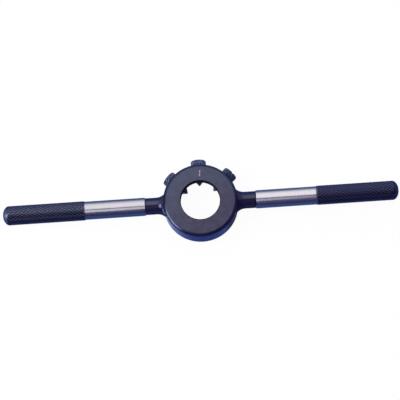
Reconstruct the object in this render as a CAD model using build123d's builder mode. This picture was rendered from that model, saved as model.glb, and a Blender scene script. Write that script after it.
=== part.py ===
"""Die stock for one inch round dies: a collar with two necks, two handles and three set screws.

The collar's axis is Z. The stock lies with the pocket's mouth down at z = 0 and the shoulder up.
The handles lie along X, and the centre screw points along +Y.
"""

import os
from math import acos, cos, radians, sin, sqrt, tan

from build123d import *

# Driving dimensions, in millimetres and degrees

# Round die and its fit in the pocket
die_diameter = 25.4
die_thickness = 9.5
die_clearance = 0.05

# Collar
collar_diameter = 38.0
shoulder_thickness = 3.5
guide_hole_diameter = 20.0
guide_hole_chamfer = 0.5
pocket_chamfer = 0.4
face_rounding = 1.6
mouth_rounding = 1.3

# Necks, measured out from the collar's side
neck_diameter = 8.6
neck_length = 8.9

# Blends from the necks to the collar. Each one's arc bites into the collar's side, its root is
# taller than the neck by the rise, and the root runs on inside the collar.
blend_radius = 5.8
blend_bite = 0.15
blend_rise = 0.5
blend_root = 2.0
blend_stations = 6

# Spigots that the handles screw onto
spigot_diameter = 6.0
spigot_length = 12.0
spigot_chamfer = 0.6
thread_clearance = 0.05

# Handles
band_diameter = 9.35
band_length = 31.2
band_chamfer = 0.5
grip_diameter = 9.9
grip_length = 41.9
grip_dome_height = 3.3
bore_end_clearance = 1.0

# Set screws
screw_diameter = 5.0
screw_clearance = 0.05
screw_reach = 10.05
point_angle = 80.0
point_flat = 0.3
head_diameter = 7.8
head_height = 3.2
head_rounding = 1.0
head_chamfer = 0.3
slot_width = 1.0
slot_depth = 1.0
spot_face_depth = 0.6
spot_face_margin = 0.4

# Each set screw's bearing from +X, how far its head stands off its seat, and its slot's turn
left_bearing = 137.0
left_stand_off = 0.3
left_slot_turn = 90.0
centre_bearing = 90.0
centre_stand_off = 1.05
centre_slot_turn = -52.0
right_bearing = 43.0
right_stand_off = 1.0
right_slot_turn = 26.0

# Sizes that follow from the driving dimensions
collar_radius = collar_diameter / 2
collar_height = die_thickness + shoulder_thickness
pocket_radius = die_diameter / 2 + die_clearance
guide_radius = guide_hole_diameter / 2
axis_height = collar_height / 2
neck_radius = neck_diameter / 2
neck_end = collar_radius + neck_length
screw_height = die_thickness / 2
screw_seat = collar_radius - spot_face_depth
head_radius = head_diameter / 2


def arm_plane(side):
    """Plane through an arm's axis: x runs out along the arm, y runs up."""
    return Plane(origin=(0, 0, axis_height), x_dir=(side, 0, 0), z_dir=(0, -side, 0))


def screw_plane(bearing):
    """Plane through a screw's axis: x runs out from the collar's axis, y runs up."""
    along = (cos(radians(bearing)), sin(radians(bearing)), 0)
    across = (sin(radians(bearing)), -cos(radians(bearing)), 0)
    return Plane(origin=(0, 0, screw_height), x_dir=along, z_dir=across)


def section_plane(plane, distance):
    """Plane square to another plane's x direction, at a distance along it, facing out."""
    origin = plane.origin + plane.x_dir * distance
    return Plane(origin=origin, x_dir=plane.y_dir, z_dir=plane.x_dir)


def long_axis(plane):
    """Axis along a plane's x direction."""
    return Axis(plane.origin, plane.x_dir)


# Collar, with its necks and spigots. In plan the blend is an arc that touches the neck's edge
blend_reach = collar_radius + blend_radius - blend_bite
blend_start = sqrt(blend_reach**2 - (neck_radius + blend_radius) ** 2)
blend_turn = acos((neck_radius + blend_radius) / blend_reach)
blend_end = blend_start - blend_radius * sin(blend_turn)

with BuildPart() as die_collar:
    with BuildSketch(Plane.XZ) as ring_profile:
        with BuildLine():
            Polyline(
                (guide_radius, collar_height),
                (collar_radius, collar_height),
                (collar_radius, 0),
                (pocket_radius, 0),
                (pocket_radius, die_thickness),
                (guide_radius, die_thickness),
                close=True,
            )
        make_face()
        outer = ring_profile.vertices().group_by(Axis.X)[-1].sort_by(Axis.Y)
        fillet(outer[-1], radius=face_rounding)
        outer = ring_profile.vertices().group_by(Axis.X)[-1].sort_by(Axis.Y)
        fillet(outer[0], radius=mouth_rounding)
        guide_edge = ring_profile.vertices().group_by(Axis.X)[0].sort_by(Axis.Y)[-1]
        chamfer(guide_edge, length=guide_hole_chamfer)
        mouth_edge = ring_profile.vertices().group_by(Axis.Y)[0].sort_by(Axis.X)[0]
        chamfer(mouth_edge, length=pocket_chamfer)
    revolve(axis=Axis.Z)

    for side in (-1, 1):
        arm = arm_plane(side)
        for station in range(blend_stations + 1):
            turn = blend_turn * station / blend_stations
            spread = (1 - cos(turn)) / (1 - cos(blend_turn))
            with BuildSketch(section_plane(arm, blend_start - blend_radius * sin(turn))):
                Ellipse(neck_radius + blend_rise * spread, neck_radius + blend_radius * (1 - cos(turn)))
        loft()
        with BuildSketch(section_plane(arm, blend_end)):
            Ellipse(neck_radius + blend_rise, neck_radius + blend_radius * (1 - cos(blend_turn)))
        extrude(amount=-blend_root)
        with BuildSketch(section_plane(arm, blend_start)):
            Circle(neck_radius)
        extrude(amount=neck_end - blend_start)
        with BuildSketch(section_plane(arm, neck_end)):
            Circle(spigot_diameter / 2)
        extrude(amount=spigot_length)
        spigot_rim = die_collar.edges().sort_by(long_axis(arm))[-1]
        chamfer(spigot_rim, length=spigot_chamfer)

    for bearing in (left_bearing, centre_bearing, right_bearing):
        with Locations(section_plane(screw_plane(bearing), collar_radius)):
            CounterBoreHole(
                radius=screw_diameter / 2 + screw_clearance,
                counter_bore_radius=head_radius + spot_face_margin,
                counter_bore_depth=spot_face_depth,
                depth=collar_radius,
            )

die_collar.part.label = "die_collar"


def make_handle(side):
    """One handle: a bare band with a tapped bore, then a larger grip with a domed end."""
    arm = arm_plane(side)
    grip_start = neck_end + band_length
    grip_end = grip_start + grip_length
    grip_radius = grip_diameter / 2
    band_radius = band_diameter / 2
    dome_start = grip_end - grip_dome_height
    with BuildPart() as handle:
        with BuildSketch(arm) as profile:
            with BuildLine():
                Polyline(
                    (grip_end, 0),
                    (neck_end, 0),
                    (neck_end, band_radius),
                    (grip_start, band_radius),
                    (grip_start + grip_radius - band_radius, grip_radius),
                    (dome_start, grip_radius),
                )
                EllipticalCenterArc((dome_start, 0), grip_dome_height, grip_radius, arc_size=90)
            make_face()
            band_rim = profile.vertices().group_by(Axis.X)[0].sort_by(Axis.Y)[-1]
            chamfer(band_rim, length=band_chamfer)
        revolve(axis=long_axis(arm))
        with BuildSketch(section_plane(arm, neck_end)):
            Circle(spigot_diameter / 2 + thread_clearance)
        extrude(amount=spigot_length + bore_end_clearance, mode=Mode.SUBTRACT)
    return handle


left_handle = make_handle(-1)
left_handle.part.label = "left_handle"

right_handle = make_handle(1)
right_handle.part.label = "right_handle"


def make_screw(bearing, stand_off, slot_turn):
    """One set screw: cone point, plain shank for the thread, and a slotted round head."""
    plane = screw_plane(bearing)
    under_head = screw_seat + stand_off
    tip = under_head - screw_reach
    shank_radius = screw_diameter / 2
    flat_radius = point_flat / 2
    point_length = (shank_radius - flat_radius) / tan(radians(point_angle / 2))
    with BuildPart() as screw:
        with BuildSketch(plane) as profile:
            with BuildLine():
                Polyline(
                    (tip, 0),
                    (tip, flat_radius),
                    (tip + point_length, shank_radius),
                    (under_head, shank_radius),
                    (under_head, head_radius),
                    (under_head + head_height, head_radius),
                    (under_head + head_height, 0),
                    close=True,
                )
            make_face()
            head_rims = profile.vertices().group_by(Axis.Y)[-1].sort_by(Axis.X)
            fillet(head_rims[-1], radius=head_rounding)
            head_rims = profile.vertices().group_by(Axis.Y)[-1].sort_by(Axis.X)
            chamfer(head_rims[0], length=head_chamfer)
        revolve(axis=long_axis(plane))
        head_end = section_plane(plane, under_head + head_height)
        with BuildSketch(head_end):
            Rectangle(2 * head_diameter, slot_width, rotation=slot_turn)
        extrude(amount=-slot_depth, mode=Mode.SUBTRACT)
    return screw


left_screw = make_screw(left_bearing, left_stand_off, left_slot_turn)
left_screw.part.label = "left_screw"

centre_screw = make_screw(centre_bearing, centre_stand_off, centre_slot_turn)
centre_screw.part.label = "centre_screw"

right_screw = make_screw(right_bearing, right_stand_off, right_slot_turn)
right_screw.part.label = "right_screw"

os.makedirs("parts", exist_ok=True)
export_step(die_collar.part, "parts/die_collar.step")
export_step(left_handle.part, "parts/left_handle.step")
export_step(right_handle.part, "parts/right_handle.step")
export_step(left_screw.part, "parts/left_screw.step")
export_step(centre_screw.part, "parts/centre_screw.step")
export_step(right_screw.part, "parts/right_screw.step")
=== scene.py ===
"""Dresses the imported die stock: knurled handles, threaded set screws and a blacked, marked collar."""

from math import cos, pi, radians, sin, sqrt, tan

import bmesh
import bpy
from mathutils import Matrix, Vector


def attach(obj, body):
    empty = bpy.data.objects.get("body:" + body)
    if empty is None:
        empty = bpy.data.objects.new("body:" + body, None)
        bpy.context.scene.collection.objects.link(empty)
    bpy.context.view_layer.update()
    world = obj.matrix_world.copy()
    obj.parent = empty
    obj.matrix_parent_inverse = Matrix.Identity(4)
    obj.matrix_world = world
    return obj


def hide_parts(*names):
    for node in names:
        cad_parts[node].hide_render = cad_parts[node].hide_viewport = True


MM = 0.001

# The photograph's view, and how much of the frame one photograph pixel covers
CAMERA_ELEVATION = radians(75.18)
CAMERA_BEARING = radians(4.036)
CAMERA_ROLL = radians(7.72)
PIXEL = 0.5095 * MM
PHOTO_SIDE = 400
COLLAR_ACROSS = 200.24
COLLAR_DOWN = 199.86
CAMERA_DISTANCE = 2.5
CAMERA_NEAREST = 0.1
CAMERA_FARTHEST = 100
SENSOR = 36.0

# Collar, and how far out from its axis its machined insides reach
COLLAR_TOP = 13.0 * MM
COLLAR_FACE_DEPTH = 0.01 * MM
MACHINED_REACH = 12.8 * MM

# Handles, measured out from the collar's axis
ARM_HEIGHT = 6.5 * MM
NECK_END = 27.9 * MM
BAND_RADIUS = 4.675 * MM
BAND_CHAMFER = 0.5 * MM
BORE_RADIUS = 3.05 * MM
BORE_DEPTH = 13.0 * MM
GRIP_START = 59.1 * MM
GRIP_RADIUS = 4.95 * MM
GRIP_SHOULDER = 0.35 * MM
GRIP_EDGE_LENGTH = 0.25 * MM
GRIP_EDGE_DROP = 0.05 * MM
GRIP_STEP_SOFTNESS = 0.02 * MM
DOME_START = 97.7 * MM
DOME_HEIGHT = 3.3 * MM
DOME_FLAT = 0.05 * MM
DOME_STEPS = 17

# The grips' knurl
GRIP_TEETH_AROUND = 20
GRIP_TEETH_ROWS = 21
GRIP_TOOTH_PITCH = 2.18 * MM
GRIP_TOOTH_DEPTH = 0.2 * MM
GRIP_TOOTH_FLANK = 0.42 * MM
GRIP_TOOTH_ROUNDING = 0.12 * MM

# The turned form that rounds a grip's end. It stands clear of the bar up to its taper at the dome,
# and the cut keeps what lies inside it
END_FORM_START = 20 * MM
END_FORM_RADIUS = 7 * MM
END_FORM_TAPER = 0.3 * MM

# Set screws, measured out from the collar's axis at no stand-off
SCREW_HEIGHT = 4.75 * MM
SCREW_SEAT = 18.4 * MM
SCREW_REACH = 10.05 * MM
POINT_HALF_ANGLE = radians(40.0)
POINT_FLAT = 0.15 * MM
HEAD_RADIUS = 3.9 * MM
HEAD_HEIGHT = 3.2 * MM
HEAD_ROUNDING = 1.0 * MM
HEAD_ROUNDING_STEPS = 8
HEAD_CHAMFER = 0.3 * MM
SLOT_WIDTH = 1.0 * MM
SLOT_DEPTH = 1.0 * MM

# The heads' knurl
HEAD_TEETH_AROUND = 18
HEAD_TEETH_ROWS = 4
HEAD_TOOTH_DEPTH = 0.26 * MM
HEAD_TOOTH_FLANK = 0.2 * MM
HEAD_TOOTH_ROUNDING = 0.08 * MM

# The screws' thread. Its profile is a flank, a crest, a flank and a root, in shares of the pitch
# along the screw and of the depth outward
THREAD_RADIUS = 2.5 * MM
THREAD_PITCH = 0.8 * MM
THREAD_DEPTH = 0.46 * MM
THREAD_PROFILE = ((0.4, 1), (0.12, 0), (0.4, -1), (0.08, 0))
THREAD_TURNS = 15
THREAD_STEPS = 32
THREAD_PITCHES_BEFORE_TIP = 1.5
THREAD_PAST_TIP = 0.2 * MM
THREAD_PAST_SEAT = 0.3 * MM

# The undercut between thread and head
UNDERCUT_RADIUS = 2.0 * MM
UNDERCUT_LENGTH = 0.45 * MM
UNDERCUT_SLOPE = 0.1 * MM
UNDERCUT_PAST_SEAT = 0.6 * MM

# Each screw's bearing and slot turn in degrees, its stand-off in millimetres and its share of wear and
# painted light, which pales its oxide and its crowns; the shares step down from the left screw to the
# right
SCREWS = {
    "left_screw": {"bearing": 137.0, "stand_off": 0.3, "slot_turn": 90.0, "wear_and_light": 0.9},
    "centre_screw": {"bearing": 90.0, "stand_off": 1.05, "slot_turn": -52.0, "wear_and_light": 0.7},
    "right_screw": {"bearing": 43.0, "stand_off": 1.0, "slot_turn": 26.0, "wear_and_light": 0.3},
}

# Distances within which points are one point, how many points go round a turned form and round a
# screw's shank, and the sharpest edge that is shaded smooth
SEAM = 0.001 * MM
SLIVER = 0.004 * MM
HAIR = 0.0001 * MM
TURNED_POINTS = 96
SHANK_POINTS = 48
SMOOTH_ANGLE = radians(32)


# Modelling by hand


def put_down():
    """Leaves nothing selected."""
    bpy.ops.object.select_all(action="DESELECT")


def take(piece):
    """Puts one piece in hand, with nothing else selected."""
    put_down()
    piece.select_set(True)
    bpy.context.view_layer.objects.active = piece


def settle():
    """Puts the place of the piece in hand into its mesh, and gives the piece."""
    bpy.ops.object.transform_apply(location=True, rotation=True, scale=True)
    return bpy.context.object


def open_piece(piece):
    """Takes a piece into edit mode, in vertex mode."""
    take(piece)
    bpy.ops.object.mode_set(mode="EDIT")
    bpy.ops.mesh.select_mode(type="VERT")


def close_piece():
    """Leaves edit mode and gives the piece."""
    bpy.ops.object.mode_set(mode="OBJECT")
    return bpy.context.object


def pick_all():
    """Selects the whole open piece."""
    bpy.ops.mesh.select_all(action="SELECT")


def pick(wanted):
    """Selects the points that the test accepts, and the edges and faces between them."""
    bpy.ops.mesh.select_all(action="DESELECT")
    shape = bmesh.from_edit_mesh(bpy.context.object.data)
    for point in shape.verts:
        point.select_set(bool(wanted(point.co)))
    shape.select_flush(True)
    bmesh.update_edit_mesh(bpy.context.object.data)


def start_ring(name, distance, radius, points):
    """A ring of points square to X, opened for drawing out."""
    put_down()
    bpy.ops.mesh.primitive_circle_add(
        vertices=points,
        radius=radius,
        location=(distance, 0, 0),
        rotation=(0, pi / 2, 0),
        fill_type="NOTHING",
    )
    ring = settle()
    ring.name = name
    open_piece(ring)
    pick_all()


def draw_out(at, stations):
    """Draws the picked rim along X, from one (distance, radius) through the stations."""
    distance, radius = at
    for next_distance, next_radius in stations:
        step = (next_distance - distance, 0, 0)
        bpy.ops.mesh.extrude_region_move(TRANSFORM_OT_translate={"value": step})
        share = next_radius / radius
        centre = (next_distance, 0, 0)
        bpy.ops.transform.resize(value=(1, share, share), center_override=centre)
        distance, radius = next_distance, next_radius


def close_end():
    """Closes the picked rim with a flat face."""
    bpy.ops.mesh.edge_face_add()


def close_ends(first_end, last_end):
    """Closes the open piece's two rims, at their distances along X."""
    pick(lambda co: co.x < first_end + SEAM)
    close_end()
    pick(lambda co: co.x > last_end - SEAM)
    close_end()


def merge_doubles():
    """Makes one point of points at the same place, all over the open piece."""
    pick_all()
    bpy.ops.mesh.remove_doubles(threshold=SEAM)


def trim(distance, keep_beyond, tolerance):
    """Cuts the open piece square to X, and keeps what is beyond the cut or what is before it."""
    pick_all()
    bpy.ops.mesh.bisect(
        plane_co=(distance, 0, 0),
        plane_no=(1, 0, 0),
        clear_inner=keep_beyond,
        clear_outer=not keep_beyond,
        threshold=tolerance,
    )


def tidy_mesh():
    """Merges doubled points, dissolves slivers and points every face outwards."""
    merge_doubles()
    bpy.ops.mesh.dissolve_degenerate(threshold=SLIVER)
    pick_all()
    bpy.ops.mesh.normals_make_consistent(inside=False)


def cut(piece, tool, operation):
    """Cuts a piece with a tool piece, which is used up."""
    take(piece)
    cutting = piece.modifiers.new("cut", "BOOLEAN")
    cutting.operation = operation
    cutting.solver = "MANIFOLD"
    cutting.object = tool
    bpy.ops.object.modifier_apply(modifier=cutting.name)
    piece.data.materials.clear()
    bpy.data.objects.remove(tool)


def turned_form(name, stations, points=TURNED_POINTS):
    """A closed turned solid along X through (distance, radius) stations, flat at both ends."""
    start_ring(name, *stations[0], points)
    close_end()
    pick_all()
    draw_out(stations[0], stations[1:])
    tidy_mesh()
    return close_piece()


def quarter_turn(steps):
    """The angles of a quarter turn, from none to all of it."""
    return [pi / 2 * step / steps for step in range(steps + 1)]


def start_tooth(name, distance, pitch, half_turn, groove, depth, flank, rounding):
    """One diamond tooth of a knurl, standing on the groove's radius above X, opened."""
    put_down()
    bpy.ops.mesh.primitive_circle_add(
        vertices=4, radius=pitch / 2, location=(distance, 0, groove), fill_type="NGON"
    )
    tooth = settle()
    tooth.name = name
    open_piece(tooth)
    pick_all()
    narrowing = groove * sin(half_turn) / (pitch / 2)
    bpy.ops.transform.resize(value=(1, narrowing, 1), center_override=(distance, 0, groove))
    pick(lambda co: abs(co.y) > SEAM)
    bpy.ops.transform.translate(value=(0, 0, groove * (cos(half_turn) - 1)))
    pick_all()
    last_rise = depth * rounding / (2 * flank)
    for thickness, rise in ((flank, depth - last_rise), (rounding, last_rise)):
        bpy.ops.mesh.inset(thickness=thickness, depth=0, use_even_offset=True)
        bpy.ops.transform.translate(value=(0, 0, rise))
    return tooth


def knurl(name, begin, rows, pitch, around, crown, depth, flank, rounding):
    """A sleeve of diamond teeth along X, left in edit mode. Gives where its two open rims are.

    One tooth is modelled. A second one goes half a pitch along and round from it, the pair is
    copied round, and the ring of pairs is copied along.
    """
    half_turn = pi / around
    tooth = start_tooth(name, begin, pitch, half_turn, crown - depth, depth, flank, rounding)
    pick_all()
    bpy.ops.mesh.duplicate_move(TRANSFORM_OT_translate={"value": (pitch / 2, 0, 0)})
    bpy.ops.transform.rotate(
        value=half_turn, orient_axis="X", orient_type="GLOBAL", center_override=(0, 0, 0)
    )
    pick_all()
    bpy.ops.mesh.spin(
        steps=around - 1,
        dupli=True,
        angle=2 * pi * (around - 1) / around,
        center=(0, 0, 0),
        axis=(1, 0, 0),
    )
    close_piece()
    row = tooth.modifiers.new("rows", "ARRAY")
    row.count = rows
    row.use_relative_offset = False
    row.use_constant_offset = True
    row.constant_offset_displace = (pitch, 0, 0)
    take(tooth)
    bpy.ops.object.modifier_apply(modifier=row.name)
    open_piece(tooth)
    merge_doubles()
    first_rim = begin + pitch / 2
    last_rim = begin + pitch * (rows - 0.5)
    trim(first_rim, keep_beyond=True, tolerance=SEAM)
    trim(last_rim, keep_beyond=False, tolerance=SEAM)
    return first_rim, last_rim


def round_rim(rim, to):
    """Draws the picked toothed rim out to a plain circle at (distance, radius)."""
    distance, radius = to
    bpy.ops.mesh.extrude_region_move(TRANSFORM_OT_translate={"value": (distance - rim, 0, 0)})
    bpy.ops.transform.tosphere(value=1)
    shape = bmesh.from_edit_mesh(bpy.context.object.data)
    spread = [sqrt(point.co.y**2 + point.co.z**2) for point in shape.verts if point.select]
    share = radius * len(spread) / sum(spread)
    bpy.ops.transform.resize(value=(1, share, share), center_override=(distance, 0, 0))


def make_handle():
    """The right handle on the X axis: bored, chamfered band, shoulder, knurled grip, domed end."""
    first_rim, last_rim = knurl(
        "handle_bar",
        GRIP_START + GRIP_SHOULDER - GRIP_TOOTH_PITCH / 2,
        GRIP_TEETH_ROWS,
        GRIP_TOOTH_PITCH,
        GRIP_TEETH_AROUND,
        GRIP_RADIUS,
        GRIP_TOOTH_DEPTH,
        GRIP_TOOTH_FLANK,
        GRIP_TOOTH_ROUNDING,
    )
    pick(lambda co: co.x < first_rim + SEAM)
    grip_edge = (GRIP_START + GRIP_EDGE_LENGTH, GRIP_RADIUS - GRIP_EDGE_DROP)
    round_rim(first_rim, grip_edge)
    draw_out(
        grip_edge,
        [
            (GRIP_START + GRIP_STEP_SOFTNESS, BAND_RADIUS + GRIP_STEP_SOFTNESS),
            (GRIP_START, BAND_RADIUS),
            (NECK_END + BAND_CHAMFER, BAND_RADIUS),
            (NECK_END, BAND_RADIUS - BAND_CHAMFER),
            (NECK_END, BORE_RADIUS),
            (NECK_END + BORE_DEPTH, BORE_RADIUS),
        ],
    )
    close_end()
    pick(lambda co: co.x > last_rim - SEAM)
    close_end()
    tidy_mesh()
    bar = close_piece()

    end_form = [
        (END_FORM_START, END_FORM_RADIUS),
        (DOME_START - END_FORM_TAPER, END_FORM_RADIUS),
    ]
    for turn in quarter_turn(DOME_STEPS)[:-1]:
        end_form.append((DOME_START + DOME_HEIGHT * sin(turn), GRIP_RADIUS * cos(turn)))
    end_form.append((DOME_START + DOME_HEIGHT, DOME_FLAT))
    cut(bar, turned_form("end_form", end_form), "INTERSECT")
    open_piece(bar)
    tidy_mesh()
    return close_piece()


def make_head():
    """A set screw's head along X: knurled, chamfered below, rounded above and slotted."""
    pitch = (HEAD_HEIGHT - HEAD_CHAMFER) / 2
    rims = knurl(
        "screw_head",
        SCREW_SEAT - pitch / 2,
        HEAD_TEETH_ROWS,
        pitch,
        HEAD_TEETH_AROUND,
        HEAD_RADIUS,
        HEAD_TOOTH_DEPTH,
        HEAD_TOOTH_FLANK,
        HEAD_TOOTH_ROUNDING,
    )
    close_ends(*rims)
    tidy_mesh()
    head = close_piece()

    top = SCREW_SEAT + HEAD_HEIGHT
    head_form = [(SCREW_SEAT, HEAD_RADIUS - HEAD_CHAMFER), (SCREW_SEAT + HEAD_CHAMFER, HEAD_RADIUS)]
    for turn in quarter_turn(HEAD_ROUNDING_STEPS):
        below_top = HEAD_ROUNDING * (1 - sin(turn))
        inward = HEAD_ROUNDING * (1 - cos(turn))
        head_form.append((top - below_top, HEAD_RADIUS - inward))
    cut(head, turned_form("head_form", head_form), "INTERSECT")

    put_down()
    bpy.ops.mesh.primitive_cube_add(
        size=1, location=(top, 0, 0), scale=(2 * SLOT_DEPTH, SLOT_WIDTH, 3 * HEAD_RADIUS)
    )
    cut(head, settle(), "DIFFERENCE")
    return head


def make_thread(tip):
    """A solid threaded bar along X: one thread's profile, swept round and along, with flat ends."""
    begin = tip - THREAD_PITCHES_BEFORE_TIP * THREAD_PITCH
    root = THREAD_RADIUS - THREAD_DEPTH
    put_down()
    bpy.ops.mesh.primitive_plane_add(size=THREAD_PITCH, location=(begin, 0, root))
    thread = settle()
    thread.name = "thread"
    open_piece(thread)
    pick_all()
    bpy.ops.mesh.merge(type="CENTER")
    for along, outward in THREAD_PROFILE:
        step = (along * THREAD_PITCH, 0, outward * THREAD_DEPTH)
        bpy.ops.mesh.extrude_vertices_move(TRANSFORM_OT_translate={"value": step})
    close_piece()
    sweep = thread.modifiers.new("sweep", "SCREW")
    sweep.axis = "X"
    sweep.angle = 2 * pi
    sweep.screw_offset = THREAD_PITCH
    sweep.iterations = THREAD_TURNS
    sweep.steps = THREAD_STEPS
    sweep.render_steps = THREAD_STEPS
    sweep.use_merge_vertices = True
    sweep.merge_threshold = SEAM
    take(thread)
    bpy.ops.object.modifier_apply(modifier=sweep.name)
    open_piece(thread)
    merge_doubles()
    for end, keep_beyond in ((tip - THREAD_PAST_TIP, True), (SCREW_SEAT + THREAD_PAST_SEAT, False)):
        trim(end, keep_beyond, HAIR)
        pick(lambda co: abs(co.x - end) < 2 * HAIR)
        close_end()
    tidy_mesh()
    return close_piece()


def make_screw():
    """One set screw along X with no stand-off: head, undercut, thread and cone point."""
    head = make_head()
    tip = SCREW_SEAT - SCREW_REACH
    point_length = (THREAD_RADIUS - POINT_FLAT) / tan(POINT_HALF_ANGLE)
    undercut = SCREW_SEAT - UNDERCUT_LENGTH
    point_form = [
        (tip, POINT_FLAT),
        (tip + point_length, THREAD_RADIUS),
        (undercut, THREAD_RADIUS),
        (undercut + UNDERCUT_SLOPE, UNDERCUT_RADIUS),
        (SCREW_SEAT + UNDERCUT_PAST_SEAT, UNDERCUT_RADIUS),
    ]
    shank = make_thread(tip)
    cut(shank, turned_form("point_form", point_form, SHANK_POINTS), "INTERSECT")
    cut(head, shank, "UNION")
    open_piece(head)
    tidy_mesh()
    return close_piece()


def placed_copy(piece, name, place):
    """A copy of a piece with its own mesh, put in place and left with its object at the origin."""
    take(piece)
    bpy.ops.object.duplicate()
    bpy.context.object.matrix_world = place
    copy = settle()
    copy.name = name
    copy.data.name = name
    bpy.ops.object.shade_smooth_by_angle(angle=SMOOTH_ANGLE)
    return copy


# How finishes are mixed


class Reading:
    """A number read over a surface. Sums on readings add Math nodes."""

    def __init__(self, recipe, socket):
        self.recipe = recipe
        self.socket = socket

    def math(self, operation, *numbers):
        settings = {"operation": operation}
        return self.recipe.node("ShaderNodeMath", settings, dict(enumerate(numbers)))

    def __add__(self, other):
        return self.math("ADD", self, other)

    def __radd__(self, other):
        return self.math("ADD", other, self)

    def __sub__(self, other):
        return self.math("SUBTRACT", self, other)

    def __rsub__(self, other):
        return self.math("SUBTRACT", other, self)

    def __mul__(self, other):
        return self.math("MULTIPLY", self, other)

    def __rmul__(self, other):
        return self.math("MULTIPLY", other, self)

    def __pow__(self, other):
        return self.math("POWER", self, other)

    def __rpow__(self, other):
        return self.math("POWER", other, self)

    def __abs__(self):
        return self.math("ABSOLUTE", self)


class Recipe:
    """The nodes of one material."""

    def __init__(self, name):
        self.material = bpy.data.materials.new(name)
        self.material.use_nodes = True
        self.tree = self.material.node_tree
        self.tree.nodes.clear()

    def node(self, kind, settings=None, sockets=None, out=0):
        """Adds a node, sets its settings, then its sockets, and gives one of its outputs."""
        made = self.tree.nodes.new(kind)
        for name, value in (settings or {}).items():
            setattr(made, name, value)
        for name, value in (sockets or {}).items():
            if isinstance(value, Reading):
                self.tree.links.new(value.socket, made.inputs[name])
            else:
                made.inputs[name].default_value = value
        return Reading(self, made.outputs[out]) if made.outputs else None

    def place(self, shift=(0, 0, 0), bearing=0):
        """Where a point is, in millimetres: turned back by a bearing, then shifted."""
        sockets = {
            "Vector": self.node("ShaderNodeTexCoord", out="Object"),
            "Location": shift,
            "Rotation": (0, 0, -bearing),
            "Scale": (1 / MM, 1 / MM, 1 / MM),
        }
        return self.node("ShaderNodeMapping", {"vector_type": "POINT"}, sockets)

    def stretched(self, place, scale):
        """A place with its axes stretched, for grain that runs one way."""
        return self.node("ShaderNodeVectorMath", {"operation": "MULTIPLY"}, {0: place, 1: scale})

    def axes(self, place):
        """A place's x, y and z."""
        split = self.node("ShaderNodeSeparateXYZ", sockets={0: place}).socket.node
        return [Reading(self, split.outputs[axis]) for axis in range(3)]

    def grain(self, place, scale, detail=2.0, roughness=0.5):
        """Soft noise from 0 to 1."""
        sockets = {"Vector": place, "Scale": scale, "Detail": detail, "Roughness": roughness}
        return self.node("ShaderNodeTexNoise", {"noise_dimensions": "3D"}, sockets)

    def rise(self, value, low, high):
        """0 below low, 1 above high, smooth between."""
        settings = {"interpolation_type": "SMOOTHSTEP"}
        sockets = {0: value, 1: low, 2: high, 3: 0.0, 4: 1.0}
        return self.node("ShaderNodeMapRange", settings, sockets)

    def fall(self, value, low, high):
        """1 below low, 0 above high, smooth between."""
        return 1 - self.rise(value, low, high)

    def near(self, value, middle, full, none):
        """1 within one distance of a middle, 0 beyond another, smooth between."""
        return self.fall(abs(value - middle), full, none)

    def blend(self, share, first, second):
        """One colour going over to another."""
        settings = {"data_type": "RGBA", "blend_type": "MIX"}
        return self.node("ShaderNodeMix", settings, {0: share, 6: first, 7: second}, out=2)

    def painted_rim(self, low, high):
        """How far the painted rim shows: none where the surface is met square on, fully where it turns
        away. It paints a dark, blue reflection.
        """
        facing = self.node("ShaderNodeLayerWeight", sockets={"Blend": 0.5}, out="Facing")
        return self.rise(facing, low, high)

    def metal(self, colour, roughness, relief, depth, edge, metallic, painted_matt_share=None):
        """Ends the recipe as metal: a relief in millimetres, a tint at its edges, and painted shade in
        places, where a dark matt colour is mixed in.
        """
        carved = {"Height": relief, "Distance": depth * MM, "Strength": 1.0}
        bump = self.node("ShaderNodeBump", sockets=carved)
        sockets = {
            "Base Color": colour,
            "Roughness": roughness,
            "Metallic": metallic,
            "Specular Tint": edge,
            "Normal": bump,
        }
        shader = self.node("ShaderNodeBsdfPrincipled", {"distribution": "MULTI_GGX"}, sockets)
        if painted_matt_share is not None:
            shade_bsdf = self.node("ShaderNodeBsdfDiffuse", sockets={"Color": MATT_SHADE_COLOUR})
            shader = self.node("ShaderNodeMixShader", sockets={0: painted_matt_share, 1: shader, 2: shade_bsdf})
        self.node("ShaderNodeOutputMaterial", sockets={0: shader})
        return self.material


def toward(x, y, heading):
    """How far a point lies in a heading, seen from above."""
    return x * heading[0] + y * heading[1]


def from_spot(x, y, spot, shape):
    """How far a point is from a spot, seen from above, with x and y weighted by the spot's shape."""
    x_away, y_away = x - spot[0], y - spot[1]
    return (x_away * x_away * shape[0] + y_away * y_away * shape[1]) ** 0.5


def grey(level):
    return (level, level, level, 1)


# Where finishes change, in millimetres. A pair is where a change begins and where it is complete

# From the left half to the right half, and more slowly from the left grip to the right grip. Over these
# spans painted shade darkens the left band, the right neck and the right grip
HALVES = (-1, 1)
GRIPS = (-30, 30)

# Painted light and shade across -Y and +Y, not oil: the bars, grips and necks are painted darker and
# the necks matt toward -Y, the side away from the lamps, and lighter toward +Y; the grooves' painted
# shade fades toward -Y, and the collar's sides change colour and matt share across their own span
BAR_SHADE = (-2.1, -0.2)
NECK_SHADE = (-1.3, 0.1)
NECK_MATT_SHADE = (-1.9, -0.5)
GROOVE_SHADE_FADE = (-4.0, -2.4)
COLLAR_SHADE = (-6, 8)

# The collar's turned face, the mouth of its guide hole, and its necks with their crowns painted paler
# as a highlight
FACE_BOTTOM = (12.85, 12.97)
FACE_RIM = (17.35, 17.7)
MOUTH_BOTTOM = (12.2, 12.6)
MOUTH_RIM = (10.35, 10.75)
NECK_ROOT = (19.5, 23)
NECK_CROWN_HIGHLIGHT = (-0.4, 1.4)

# Painted light and shade on the collar: the face painted paler to the upper left, the ring's side
# painted darker to the right, and matt, more so to the right
LIT_FACE_HEADING = (-0.6, 0.8)
LIT_FACE_SPAN = (-16, 18)
SHADED_RIGHT_SIDE = (6, 19)
LEFT_MATT_SHADE = (-14, -5)
RIGHT_MATT_SHADE = (10, 15)
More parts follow.
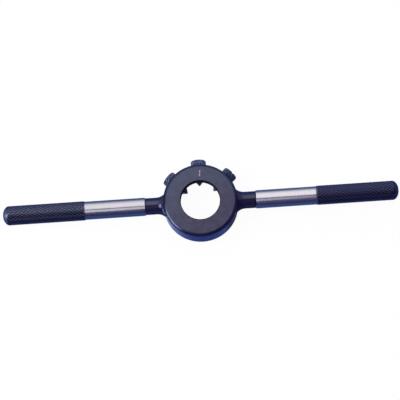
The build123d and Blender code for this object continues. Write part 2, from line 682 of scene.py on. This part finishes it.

# The collar's left edge, worn and painted paler where its highlight falls, and the painted highlights
# at its left neck's root: a spot and a leaning strip. A spot's shape is the weights of x and y in the
# distance from its middle
WORN_HIGHLIGHT_HEADING = (-0.88, -0.47)
WORN_HIGHLIGHT_EDGE = (15.2, 17.2)
WORN_HIGHLIGHT_BOTTOM = (11.3, 12.1)
ROOT_SPOT = (-20.65, -1.2)
ROOT_SPOT_SHAPE = (2.4, 1.1)
ROOT_SPOT_RIM = (0.7, 1.25)
ROOT_SPOT_BOTTOM = (9.5, 10)
ROOT_STRIP = (-19.015, -4.0)
ROOT_STRIP_LEAN = 0.435
ROOT_STRIP_SIDES = (0.1, 0.6)
ROOT_STRIP_ENDS = (0.8, 1.6)
ROOT_STRIP_BOTTOM = (7.2, 8.4)

# The size mark leans about a height on the face. Each of its bars has a middle, then the soft
# edges to its sides and to its ends
MARK_LEAN = 0.09
MARK_LEANS_ABOUT = 14.2
MARK_STROKE = ((0.58, 14.15), (0.07, 0.17), (1.36, 1.52))
MARK_FOOT = ((0.55, 12.78), (0.2, 0.34), (0.12, 0.26))
MARK_FLAG = ((0.44, 15.2), (0.1, 0.22), (0.2, 0.34))
MARK_FLAG_LEAN = 0.8
MARK_INK = (0.2, 0.7)

# A band's darker ends, a grip's first edge with its painted highlight, its dome, crowns and grooves,
# the upper side where its painted light fades, and the painted highlight spot on the left grip's end
BAND_COLLAR_END = (28.2, 29.4)
BAND_GRIP_END = (58.2, 59.1)
GRIP_EDGE_BEGIN = (59.15, 59.3)
GRIP_EDGE_END = (59.55, 59.75)
GRIP_DOME = (98.2, 99.4)
GRIP_CROWNS = (4.88, 4.94)
GRIP_GROOVES = (4.75, 4.84)
UPPER_GRIP = (1.2, 3.4)
END_SPOT = (-99.45, -1.0)
END_SPOT_SHAPE = (2.2, 0.8)
END_SPOT_RIM = (0.4, 1.4)

# A set screw's knurl, the grooves in it, and its thread's crests, out from its axis
HEAD_CROWNS = (3.68, 3.84)
HEAD_GROOVES_BEGIN = (3.3, 3.55)
HEAD_GROOVES_END = (3.6, 3.72)
CRESTS_BEGIN = (2.3, 2.5)
CRESTS_END = (2.52, 2.6)

# The noise, from 0 to 1, at which a patch begins and at which it is complete
MOTTLED_OXIDE = (0.34, 0.66)
WORN_HIGHLIGHT_PATCHES = (0.25, 0.6)
RUBBED_MOUTH_PATCHES = (0.35, 0.65)
PAINTED_PATCHES = (0.2, 0.42)
STEEL_SPOT_PATCHES = (0.7, 0.78)
GRIP_WEAR_AND_HIGHLIGHT_PATCHES = (0.45, 0.9)
SCREW_WEAR_AND_HIGHLIGHT_PATCHES = (0.3, 0.7)

# How far a surface turns away where its painted dark rim reflection begins and where it is full. 1 is
# edge on
SIDE_PAINTED_RIM_TURN = (0.03, 0.3)
SHADED_STEEL_RIM_TURN = (0.03, 0.22)
LIT_STEEL_RIM_TURN = (0.03, 0.56)
GRIP_PAINTED_RIM_TURN = (0.2, 0.5)
SCREW_PAINTED_RIM_TURN = (0.25, 0.55)

# Colours. A pair is for a blend from its first colour to its second

BLUE_EDGE = (0.28, 0.40, 0.93, 1)
GREY_EDGE = (0.22, 0.25, 0.38, 1)
BORE_EDGE = (0.12, 0.12, 0.2, 1)
STEEL_EDGE = (0.45, 0.62, 1.0, 1)
SCREW_EDGE = (0.2, 0.28, 0.62, 1)
# The dark matt colour mixed in as painted shade
MATT_SHADE_COLOUR = (0.016, 0.013, 0.048, 1)

FACE_OXIDE = ((0.046, 0.046, 0.071, 1), (0.060, 0.062, 0.090, 1))
# Painted light: the face's paler colours to the upper left
LIT_FACE_OXIDE = ((0.060, 0.070, 0.098, 1), (0.074, 0.086, 0.115, 1))
SIDE_OXIDE = ((0.015, 0.022, 0.043, 1), (0.027, 0.029, 0.062, 1))
# The sides' painted dark rim reflection, toward +Y and toward -Y
SIDE_PAINTED_RIM = ((0.014, 0.026, 0.044, 1), (0.014, 0.014, 0.038, 1))
# Painted shade on the ring's right side
RIGHT_SIDE_SHADE = (0.007, 0.005, 0.016, 1)
# The necks' painted light, the painted shade that darkens the right neck, and the painted shade toward
# -Y
LIT_NECK_OXIDE = ((0.055, 0.058, 0.080, 1), (0.078, 0.083, 0.112, 1))
RIGHT_NECK_SHADE = (0.042, 0.042, 0.066, 1)
SHADED_NECK_OXIDE = ((0.022, 0.020, 0.044, 1), (0.013, 0.010, 0.030, 1))
COLLAR_SPECKS = (0.025, 0.025, 0.045, 1)
# The worn left edge, painted paler to strengthen its highlight, and the painted highlights at the left
# neck's root
WORN_HIGHLIGHT_COLLAR = (0.075, 0.08, 0.115, 1)
ROOT_SPOT_HIGHLIGHT = (0.25, 0.26, 0.40, 1)
ROOT_STRIP_HIGHLIGHT = (0.20, 0.27, 0.46, 1)
RUBBED_MOUTH = (0.15, 0.155, 0.2, 1)
MARK_PAINT = (0.48, 0.42, 0.43, 1)
BORE_OXIDE = ((0.016, 0.013, 0.028, 1), (0.034, 0.030, 0.052, 1))

BARE_STEEL = ((0.49, 0.49, 0.47, 1), (0.56, 0.56, 0.53, 1))
# Painted shade on the left band
LEFT_BAND_SHADE = (0.30, 0.28, 0.27, 1)
STEEL_MARKS = (0.38, 0.38, 0.38, 1)
STEEL_SPOTS = (0.20, 0.18, 0.22, 1)
# Darker toward the band's ends
BAND_END_DARKENING = (0.34, 0.30, 0.32, 1)
# The band's painted dark rim reflection, toward -Y and toward +Y
SHADED_STEEL_PAINTED_RIM = (0.038, 0.052, 0.15, 1)
LIT_STEEL_PAINTED_RIM = (0.055, 0.075, 0.14, 1)

# The grip's oxide painted darker toward -Y and paler toward +Y, and the right grip's painted shade
SHADED_GRIP_OXIDE = ((0.025, 0.027, 0.054, 1), (0.036, 0.038, 0.070, 1))
LIT_GRIP_OXIDE = ((0.064, 0.080, 0.108, 1), (0.086, 0.104, 0.138, 1))
RIGHT_GRIP_SHADE = ((0.040, 0.044, 0.086, 1), (0.026, 0.024, 0.058, 1))
# Dirt and painted shade in the grooves
GRIP_GROOVE_DIRT_AND_SHADE = (0.008, 0.007, 0.022, 1)
# Worn crowns painted as highlights, and the painted highlight on the right grip's first edge
GRIP_WEAR_AND_HIGHLIGHT = (0.19, 0.21, 0.24, 1)
GRIP_EDGE_HIGHLIGHT = (0.14, 0.15, 0.19, 1)
# Painted light on the left grip's end, the painted dark rim reflection, and the painted highlight spot
# on the end
LEFT_END_PAINTED_LIGHT = (0.075, 0.100, 0.160, 1)
GRIP_PAINTED_RIM = (0.011, 0.019, 0.052, 1)
END_SPOT_HIGHLIGHT = (0.20, 0.25, 0.36, 1)

# The screws' oxide, paler with a larger share of wear and painted light
SCREW_OXIDE = ((0.050, 0.066, 0.124, 1), (0.116, 0.144, 0.222, 1))
SCREW_DIRT = (0.015, 0.018, 0.04, 1)
# Worn crowns and crests painted as highlights
SCREW_WEAR_AND_HIGHLIGHT = (0.25, 0.28, 0.37, 1)
# The screws' painted dark rim reflection
SCREW_PAINTED_RIM = (0.018, 0.021, 0.055, 1)


# Finishes


def size_mark(oxide, x, y):
    """The size mark 1, leaning a little: a stroke, its foot and its flag."""

    def bar(across, middle, sides, ends):
        return oxide.near(across, middle[0], *sides) * oxide.near(y, middle[1], *ends)

    across = x - (y - MARK_LEANS_ABOUT) * MARK_LEAN
    across_flag = across - (y - MARK_FLAG[0][1]) * MARK_FLAG_LEAN
    bars = bar(across, *MARK_STROKE) + bar(across, *MARK_FOOT) + bar(across_flag, *MARK_FLAG)
    return oxide.rise(bars, *MARK_INK)


def face_colour(oxide, x, y, mottle):
    """The turned face: mottled oxide, painted paler to the upper left as light."""
    # Painted light: the share to the upper left
    face_light_share = oxide.rise(toward(x, y, LIT_FACE_HEADING), *LIT_FACE_SPAN)
    plain_face = oxide.blend(mottle, *FACE_OXIDE)
    paler_face = oxide.blend(mottle, *LIT_FACE_OXIDE)
    return oxide.blend(face_light_share, plain_face, paler_face)


def neck_colour(oxide, x, y):
    """The necks: painted paler toward +Y and palest on their crowns as a highlight, painted dark toward
    -Y as shade, and painted darker on the right as shade.
    """
    right_half = oxide.rise(x, *HALVES)
    painted_lit = oxide.blend(oxide.rise(y, *NECK_CROWN_HIGHLIGHT), *LIT_NECK_OXIDE)
    # Painted shade: the right neck is darker
    painted_lit = oxide.blend(right_half * 0.6, painted_lit, RIGHT_NECK_SHADE)
    painted_shaded = oxide.blend(right_half, *SHADED_NECK_OXIDE)
    return oxide.blend(oxide.fall(y, *NECK_SHADE), painted_lit, painted_shaded)


def blacked_collar(name, edge):
    """Black oxide on the collar: mottled turned face with the size mark, glossy sides and necks.

    Painted shade makes the sides and necks darker and matt toward -Y and to the right, and a painted
    dark, blue reflection tints the sides where they turn away. The left edge of the face is worn paler,
    which also paints up the highlight there, and painted highlights sit at the left neck's root.
    """
    oxide = Recipe(name)
    place = oxide.place()
    x, y, z = oxide.axes(place)
    out = (x * x + y * y) ** 0.5
    mottle = oxide.rise(oxide.grain(place, 0.32, detail=4.0, roughness=0.62), *MOTTLED_OXIDE)
    speckle = oxide.grain(place, 2.6, detail=3.0, roughness=0.65)
    across_rings = oxide.node("ShaderNodeCombineXYZ", sockets={0: out, 1: z})
    rings = oxide.grain(oxide.stretched(across_rings, (9, 9, 0)), 1.0)

    face = oxide.rise(z, *FACE_BOTTOM)
    turned = face * oxide.fall(out, *FACE_RIM)
    mouth = oxide.fall(out, *MOUTH_RIM) * oxide.rise(z, *MOUTH_BOTTOM)
    mark = size_mark(oxide, x, y) * face
    neck = oxide.rise(abs(x), *NECK_ROOT)
    ring = 1 - neck
    # Painted shade: the share of the collar toward -Y, away from the lamps
    shaded_side = oxide.fall(y, *COLLAR_SHADE)
    # Painted shade: the ring's side is darker to the right
    right_shade = oxide.rise(x, *SHADED_RIGHT_SIDE) * ring
    # Painted shade: a dark matt colour mixed into the sides, more to the right and toward -Y, and into
    # the necks toward -Y
    matt_shade_share = oxide.rise(x, *LEFT_MATT_SHADE) * 0.35 + oxide.rise(x, *RIGHT_MATT_SHADE) * 0.47
    matt_shade_side = matt_shade_share * shaded_side * ring
    matt_shade_neck = oxide.fall(y, *NECK_MATT_SHADE) * neck * 0.65

    # The face's left edge: worn, and painted paler where its highlight falls
    edge_highlight = oxide.rise(toward(x, y, WORN_HIGHLIGHT_HEADING), *WORN_HIGHLIGHT_EDGE)
    edge_highlight = edge_highlight * oxide.rise(z, *WORN_HIGHLIGHT_BOTTOM) * ring
    # Painted highlight: a spot at the left neck's root
    highlight_spot = oxide.fall(from_spot(x, y, ROOT_SPOT, ROOT_SPOT_SHAPE), *ROOT_SPOT_RIM)
    highlight_spot = highlight_spot * oxide.rise(z, *ROOT_SPOT_BOTTOM)
    # Painted highlight: a leaning strip at the left neck's root
    across_strip = x + (y - ROOT_STRIP[1]) * ROOT_STRIP_LEAN
    highlight_strip = oxide.near(across_strip, ROOT_STRIP[0], *ROOT_STRIP_SIDES)
    highlight_strip = highlight_strip * oxide.near(y, ROOT_STRIP[1], *ROOT_STRIP_ENDS)
    highlight_strip = highlight_strip * (1 - turned) * oxide.rise(z, *ROOT_STRIP_BOTTOM)

    # The side's oxide is paler toward -Y and darker toward +Y
    side = oxide.blend(shaded_side, *SIDE_OXIDE)
    side = oxide.blend(neck, side, neck_colour(oxide, x, y))
    # Painted reflection: the sides turn dark blue where they turn away from the view
    painted_rim_colour = oxide.blend(shaded_side, *SIDE_PAINTED_RIM)
    side = oxide.blend(oxide.painted_rim(*SIDE_PAINTED_RIM_TURN), side, painted_rim_colour)
    # Painted shade: the ring's side darker to the right and toward -Y
    side = oxide.blend(right_shade * 0.5 * shaded_side, side, RIGHT_SIDE_SHADE)
    edge_highlight = edge_highlight * oxide.rise(speckle, *WORN_HIGHLIGHT_PATCHES)
    side = oxide.blend(edge_highlight, side, WORN_HIGHLIGHT_COLLAR)
    side = oxide.blend(highlight_spot, side, ROOT_SPOT_HIGHLIGHT)
    side = oxide.blend(highlight_strip * 0.6, side, ROOT_STRIP_HIGHLIGHT)
    colour = oxide.blend(turned, side, face_colour(oxide, x, y, mottle))
    colour = oxide.blend(speckle * 0.3, colour, COLLAR_SPECKS)
    rubbed_mouth = mouth * 0.35 * oxide.rise(speckle, *RUBBED_MOUTH_PATCHES)
    colour = oxide.blend(rubbed_mouth, colour, RUBBED_MOUTH)
    colour = oxide.blend(mark * oxide.rise(speckle, *PAINTED_PATCHES), colour, MARK_PAINT)

    roughness = 0.15 + mottle * 0.05 + speckle * 0.06 + turned * 0.19 + mark * 0.2
    roughness = roughness + (highlight_spot + highlight_strip) * 0.3
    relief = speckle * (0.6 - highlight_spot * 0.6) + face * rings * 0.35 - mark
    # Painted shade: how much dark matt colour is mixed in, kept off the turned face
    painted_matt_share = (matt_shade_side + matt_shade_neck) * (1 - turned)
    return oxide.metal(
        colour, roughness, relief, depth=0.018, edge=edge, metallic=0.88, painted_matt_share=painted_matt_share
    )


def machined_bore():
    """The machined insides of the collar: dull, dark, with tool marks round the axis."""
    bore = Recipe("machined_bore")
    place = bore.place()
    marks = bore.grain(bore.stretched(place, (0.4, 0.4, 6)), 1.0, detail=3.0, roughness=0.6)
    speckle = bore.grain(place, 1.8, detail=3.0, roughness=0.6)
    colour = bore.blend(marks, *BORE_OXIDE)
    roughness = 0.55 + speckle * 0.2
    return bore.metal(colour, roughness, marks, depth=0.02, edge=BORE_EDGE, metallic=0.95)


def ground_band():
    """Bare ground steel: fine marks round the bar, soft streaks along it, a few dark spots, darker
    ends, painted shade on the left band and a painted dark rim reflection, deeper toward -Y.
    """
    steel = Recipe("ground_band")
    place = steel.place((0, 0, -ARM_HEIGHT / MM))
    x, y, z = steel.axes(place)
    marks = steel.grain(steel.stretched(place, (11, 0.5, 0.5)), 1.0, detail=3.0, roughness=0.7)
    long_streaks = steel.stretched(place, (0.12, 1.4, 1.4))
    streaks = steel.grain(long_streaks, 1.0, detail=3.0, roughness=0.6)
    clouds = steel.grain(place, 0.35, detail=3.0, roughness=0.55)
    spots = steel.rise(steel.grain(place, 1.6), *STEEL_SPOT_PATCHES)
    left_half = steel.fall(x, *HALVES)
    collar_end = steel.fall(abs(x), *BAND_COLLAR_END)
    grip_end = steel.rise(abs(x), *BAND_GRIP_END)
    # Painted shade: the share of the band toward -Y, away from the lamps
    painted_shaded = steel.fall(y, *BAR_SHADE)

    colour = steel.blend(clouds, *BARE_STEEL)
    # Painted shade: the left band is darker
    colour = steel.blend(left_half * 0.2, colour, LEFT_BAND_SHADE)
    colour = steel.blend(marks * 0.35, colour, STEEL_MARKS)
    colour = steel.blend(spots * 0.6, colour, STEEL_SPOTS)
    # Darker toward both ends of the band, next to the neck and the grip
    colour = steel.blend(grip_end * 0.35 + collar_end * 0.15, colour, BAND_END_DARKENING)
    # Painted reflection: dark blue rims where the band turns away, deeper toward -Y
    colour = steel.blend(painted_shaded * steel.painted_rim(*SHADED_STEEL_RIM_TURN), colour, SHADED_STEEL_PAINTED_RIM)
    colour = steel.blend((1 - painted_shaded) * steel.painted_rim(*LIT_STEEL_RIM_TURN), colour, LIT_STEEL_PAINTED_RIM)
    roughness = 0.16 + marks * 0.1 + streaks * 0.08 + spots * 0.2
    relief = marks + streaks * 0.6 - spots * 0.5
    return steel.metal(colour, roughness, relief, depth=0.012, edge=STEEL_EDGE, metallic=1.0)


def blacked_grip():
    """Black oxide on a knurled grip: crowns worn paler and painted as highlights, grooves dark with
    dirt and painted shade, smoother on the dome.

    Painted shade darkens the grip toward -Y and the right grip all over, and a painted dark, blue
    reflection tints its rims. The left one's end is painted paler as light, with a painted highlight
    spot, and the right one's first edge has a painted highlight.
    """
    oxide = Recipe("blacked_grip")
    place = oxide.place((0, 0, -ARM_HEIGHT / MM))
    x, y, z = oxide.axes(place)
    out = (y * y + z * z) ** 0.5
    mottle = oxide.grain(place, 0.3, detail=4.0, roughness=0.6)
    speckle = oxide.grain(place, 3.5, detail=3.0, roughness=0.6)
    crowns = oxide.rise(out, *GRIP_CROWNS)
    grooves = oxide.fall(out, *GRIP_GROOVES)
    right_grip = oxide.rise(x, *GRIPS)
    dome = oxide.rise(abs(x), *GRIP_DOME)
    # Painted light: the left grip's end is paler
    lit_left_end = dome * (1 - right_grip)
    # Crowns worn paler and painted as highlights
    wear_and_highlight = crowns * oxide.rise(mottle + speckle * 0.4, *GRIP_WEAR_AND_HIGHLIGHT_PATCHES) * (1 - dome)
    # Painted highlight: a ring at the right grip's first edge
    edge_highlight = oxide.rise(abs(x), *GRIP_EDGE_BEGIN) * oxide.fall(abs(x), *GRIP_EDGE_END)
    # Painted highlight: a spot on the left grip's end
    highlight_spot = oxide.fall(from_spot(x, y, END_SPOT, END_SPOT_SHAPE), *END_SPOT_RIM)
    # Painted shade toward -Y, and painted light toward +Y that fades near the top
    painted_shaded = oxide.fall(y, *BAR_SHADE)
    painted_lit = (1 - painted_shaded) * (1 - 0.6 * oxide.rise(y, *UPPER_GRIP))
    # The grooves' dirt and painted shade, weaker toward -Y
    groove_shade_share = 0.9 - oxide.fall(y, *GROOVE_SHADE_FADE) * 0.6

    colour = oxide.blend(mottle, *SHADED_GRIP_OXIDE)
    colour = oxide.blend(painted_lit, colour, oxide.blend(mottle, *LIT_GRIP_OXIDE))
    # Painted shade: the right grip is darker
    colour = oxide.blend(right_grip * 0.9, colour, oxide.blend(painted_shaded, *RIGHT_GRIP_SHADE))
    colour = oxide.blend(grooves * (1 - dome) * groove_shade_share, colour, GRIP_GROOVE_DIRT_AND_SHADE)
    wear_and_highlight_share = wear_and_highlight * (1 - right_grip * 0.6) * (1 - painted_shaded * 0.7) * 0.65
    colour = oxide.blend(wear_and_highlight_share, colour, GRIP_WEAR_AND_HIGHLIGHT)
    colour = oxide.blend(edge_highlight * right_grip * 0.8, colour, GRIP_EDGE_HIGHLIGHT)
    colour = oxide.blend(lit_left_end * 0.9, colour, LEFT_END_PAINTED_LIGHT)
    # Painted reflection: a dark blue rim where the grip turns away, weaker on the left grip's end
    painted_rim = oxide.painted_rim(*GRIP_PAINTED_RIM_TURN) * (0.8 - lit_left_end * 0.7)
    colour = oxide.blend(painted_rim, colour, GRIP_PAINTED_RIM)
    colour = oxide.blend(highlight_spot, colour, END_SPOT_HIGHLIGHT)
    roughness = 0.24 + speckle * 0.12 - wear_and_highlight * 0.04 + grooves * 0.1 + lit_left_end * 0.15
    return oxide.metal(colour, roughness, speckle, depth=0.012, edge=BLUE_EDGE, metallic=0.95)


def blacked_screw(name, bearing, wear_and_light):
    """Black oxide on a set screw: worn and painted as highlights on its knurl and its thread, paler
    with a larger share of wear and painted light, and painted dark blue at its rims as reflection.
    """
    oxide = Recipe(name)
    place = oxide.place((0, 0, -SCREW_HEIGHT / MM), radians(bearing))
    x, y, z = oxide.axes(place)
    out = (y * y + z * z) ** 0.5
    mottle = oxide.grain(place, 0.6, detail=4.0, roughness=0.6)
    speckle = oxide.grain(place, 4.0, detail=3.0, roughness=0.6)
    crowns = oxide.rise(out, *HEAD_CROWNS)
    grooves = oxide.rise(out, *HEAD_GROOVES_BEGIN) * oxide.fall(out, *HEAD_GROOVES_END)
    crests = oxide.rise(out, *CRESTS_BEGIN) * oxide.fall(out, *CRESTS_END)
    # Crowns and crests worn paler and painted as highlights
    wear_and_highlight = (crowns + crests * 0.6) * oxide.rise(speckle, *SCREW_WEAR_AND_HIGHLIGHT_PATCHES)

    # Paler oxide with a larger share of wear and painted light
    colour = oxide.blend(mottle * 0.4 + wear_and_light * 0.6, *SCREW_OXIDE)
    colour = oxide.blend(grooves * 0.6, colour, SCREW_DIRT)
    colour = oxide.blend(wear_and_highlight * wear_and_light * 0.6, colour, SCREW_WEAR_AND_HIGHLIGHT)
    # Painted reflection: dark blue where the screw turns away
    colour = oxide.blend(oxide.painted_rim(*SCREW_PAINTED_RIM_TURN) * 0.9, colour, SCREW_PAINTED_RIM)
    roughness = 0.36 + speckle * 0.14 - wear_and_highlight * 0.06
    return oxide.metal(colour, roughness, speckle, depth=0.012, edge=SCREW_EDGE, metallic=0.95)


def floor_paint():
    """A pale floor that looks white and still takes the stock's shadow."""
    paint = Recipe("floor_paint")
    cloud = paint.grain(paint.place(), 0.01)
    pale = paint.blend(cloud, grey(0.88), grey(0.92))
    lit = paint.node("ShaderNodeBsdfDiffuse", sockets={0: pale})
    white = paint.node("ShaderNodeEmission", sockets={0: grey(1.0), 1: 1.0})
    rays = paint.node("ShaderNodeLightPath").socket.node.outputs
    camera, glossy, transmission = (
        Reading(paint, rays["Is " + ray + " Ray"]) for ray in ("Camera", "Glossy", "Transmission")
    )
    white_share = (camera + glossy + transmission) * 0.96
    both = paint.node("ShaderNodeMixShader", sockets={0: white_share, 1: lit, 2: white})
    paint.node("ShaderNodeOutputMaterial", sockets={0: both})
    return paint.material


# The studio

FLOOR_RADIUS = 9.0
FLOOR_POINTS = 64
ROOM_LIGHT = (0.10, 0.095, 0.27, 1)
WARM = (1.0, 0.94, 0.95)
COOL = (0.95, 0.95, 1.0)

# Each soft lamp's centre, target, width, height, colour and level. At level 1 it looks white
LAMPS = {
    "overhead_lamp": ((0, 0.36, 0.77), (0, 0, 0), 2.0, 0.775, WARM, 1.5),
    "back_lamp": ((0, 0.78, 0.33), (0, 0, 0), 2.0, 0.58, WARM, 1.45),
    "near_lamp": ((-0.16, -0.215, 0.451), (-0.16, 0, 0), 0.4, 0.2, COOL, 1.15),
    "left_window": ((-0.44, -0.134, 0.386), (0, 0, 0), 0.34, 0.38, COOL, 6.5),
}


def lay_floor():
    """A round floor under the stock, which isn't part of it."""
    put_down()
    bpy.ops.mesh.primitive_circle_add(
        vertices=FLOOR_POINTS, radius=FLOOR_RADIUS, fill_type="NGON"
    )
    floor = bpy.context.object
    floor.name = "floor"
    floor.data.materials.append(floor_paint())


def hang_lamp(name, centre, target, width, height, colour, level):
    """A soft lamp at a centre, facing a target. The camera doesn't see it."""
    lamp = bpy.data.lights.new(name, "AREA")
    lamp.shape = "RECTANGLE"
    lamp.size = width
    lamp.size_y = height
    lamp.energy = level * pi * width * height
    lamp.color = colour
    hung = bpy.data.objects.new(name, lamp)
    bpy.context.scene.collection.objects.link(hung)
    hung.location = centre
    facing = Vector(target) - Vector(centre)
    hung.rotation_euler = facing.to_track_quat("-Z", "Y").to_euler()
    hung.visible_camera = False


def set_studio():
    """Lights the stock with the room and the lamps."""
    world = bpy.data.worlds.new("studio")
    world.use_nodes = True
    world.node_tree.nodes["Background"].inputs[0].default_value = ROOM_LIGHT
    bpy.context.scene.world = world
    for name, settings in LAMPS.items():
        hang_lamp(name, *settings)
    bpy.context.scene.view_settings.view_transform = "Standard"


def set_camera():
    """A long lens at the photograph's angle, framed as the photograph is."""
    up_share, out_share = sin(CAMERA_ELEVATION), cos(CAMERA_ELEVATION)
    side, front = sin(CAMERA_BEARING), cos(CAMERA_BEARING)
    across = Vector((front, side, 0))
    upward = Vector((-up_share * side, up_share * front, out_share))
    back = Vector((side * out_share, -front * out_share, up_share))
    roll_cos, roll_sin = cos(CAMERA_ROLL), sin(CAMERA_ROLL)
    frame_across = across * roll_cos - upward * roll_sin
    frame_up = across * roll_sin + upward * roll_cos
    middle = Vector((0, 0, COLLAR_TOP))
    middle += frame_across * (PHOTO_SIDE / 2 - COLLAR_ACROSS) * PIXEL
    middle -= frame_up * (PHOTO_SIDE / 2 - COLLAR_DOWN) * PIXEL
    middle -= back * (COLLAR_TOP - ARM_HEIGHT) / up_share
    lens = bpy.data.cameras.new("long_lens")
    lens.sensor_width = SENSOR
    lens.lens = SENSOR * CAMERA_DISTANCE / (PHOTO_SIDE * PIXEL)
    lens.clip_start = CAMERA_NEAREST
    lens.clip_end = CAMERA_FARTHEST
    camera = bpy.data.objects.new("camera", lens)
    bpy.context.scene.collection.objects.link(camera)
    turn = Matrix((frame_across, frame_up, back)).transposed().to_4x4()
    camera.matrix_world = Matrix.Translation(middle + back * CAMERA_DISTANCE) @ turn
    bpy.context.scene.camera = camera


# The stock


def dress_collar(collar):
    """Finishes the collar's own mesh: its sides and necks, its face and its machined insides."""
    collar.data.materials.clear()
    collar.data.materials.append(blacked_collar("blacked_side", BLUE_EDGE))
    collar.data.materials.append(blacked_collar("blacked_face", GREY_EDGE))
    collar.data.materials.append(machined_bore())
    for face in collar.data.polygons:
        if face.center.z > COLLAR_TOP - COLLAR_FACE_DEPTH:
            face.material_index = 1
        elif Vector(face.center[:2]).length < MACHINED_REACH:
            face.material_index = 2


def dress_handles():
    """Stands a knurled bar in for each handle."""
    bar = make_handle()
    bar.data.materials.append(ground_band())
    bar.data.materials.append(blacked_grip())
    open_piece(bar)
    pick(lambda co: co.x > GRIP_START - SEAM)
    bar.active_material_index = 1
    bpy.ops.object.material_slot_assign()
    close_piece()
    raised = Matrix.Translation((0, 0, ARM_HEIGHT))
    for side, turn in (("right", 0), ("left", pi)):
        handle = placed_copy(bar, side + "_handle_bar", raised @ Matrix.Rotation(turn, 4, "Z"))
        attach(handle, "stock")
        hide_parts(side + "_handle")
    bpy.data.objects.remove(bar)


def dress_screws():
    """Stands a knurled and threaded screw in for each set screw."""
    screw = make_screw()
    for node, fitted in SCREWS.items():
        place = (
            Matrix.Rotation(radians(fitted["bearing"]), 4, "Z")
            @ Matrix.Translation((fitted["stand_off"] * MM, 0, SCREW_HEIGHT))
            @ Matrix.Rotation(radians(fitted["slot_turn"]), 4, "X")
        )
        piece = placed_copy(screw, node + "_knurled", place)
        finish = blacked_screw(node + "_oxide", fitted["bearing"], fitted["wear_and_light"])
        piece.data.materials.append(finish)
        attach(piece, node)
        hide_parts(node)
    bpy.data.objects.remove(screw)


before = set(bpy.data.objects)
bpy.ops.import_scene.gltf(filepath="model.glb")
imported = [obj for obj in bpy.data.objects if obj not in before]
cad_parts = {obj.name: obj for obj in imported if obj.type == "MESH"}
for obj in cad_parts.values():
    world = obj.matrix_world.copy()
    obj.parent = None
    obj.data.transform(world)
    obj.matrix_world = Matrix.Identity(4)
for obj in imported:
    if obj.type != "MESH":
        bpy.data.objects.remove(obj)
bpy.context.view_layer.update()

dress_collar(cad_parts["die_collar"])
dress_handles()
dress_screws()
lay_floor()
set_studio()
set_camera()
